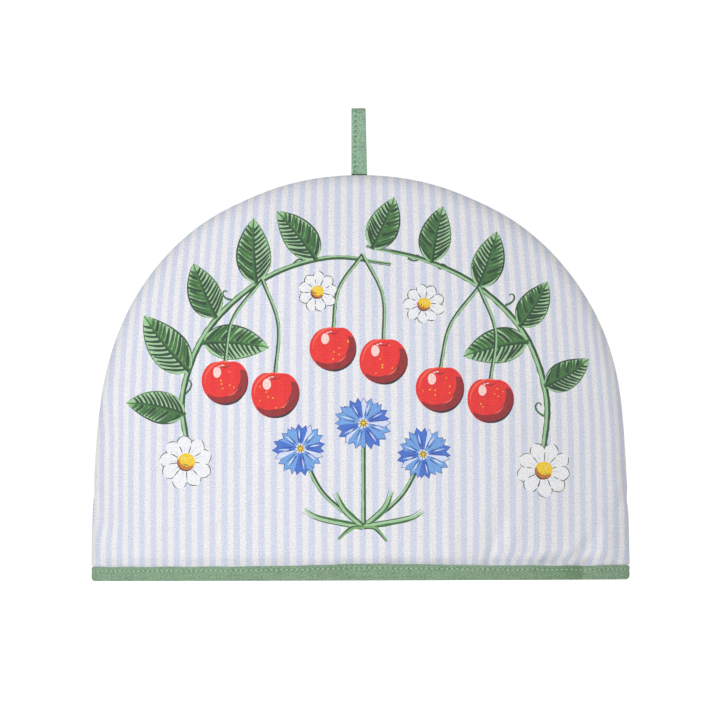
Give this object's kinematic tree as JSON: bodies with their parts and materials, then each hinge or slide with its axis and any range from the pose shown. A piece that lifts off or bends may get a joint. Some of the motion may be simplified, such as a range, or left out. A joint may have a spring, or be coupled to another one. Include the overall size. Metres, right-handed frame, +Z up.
{
  "type": "tea cosy",
  "caption": "Domed, padded cotton tea cosy with a bound hem, open underneath, and a folded tape loop standing in the top of its arched seam.",
  "frame": {"origin": "on the surface it stands on, under the middle of the cosy", "axes": "+X to the right seen from the front, +Y from the front panel to the back panel, +Z up to the hanging loop"},
  "size_m": [0.345, 0.1004, 0.303],
  "materials": {
    "printed_striped_cotton": "matt woven cotton, narrow pale blue and off-white stripes, with a printed garland",
    "striped_cotton": "matt woven cotton, narrow pale blue and off-white stripes",
    "green_binding": "matt sage green cotton strip, folded and stitched",
    "green_tape": "matt sage green cotton tape, folded and stitched along one edge"
  },
  "bodies": {
    "root": {"front_panel": "printed_striped_cotton", "back_panel": "striped_cotton", "hem_binding": "green_binding", "hanging_loop": "green_tape"}
  },
  "joints": []
}
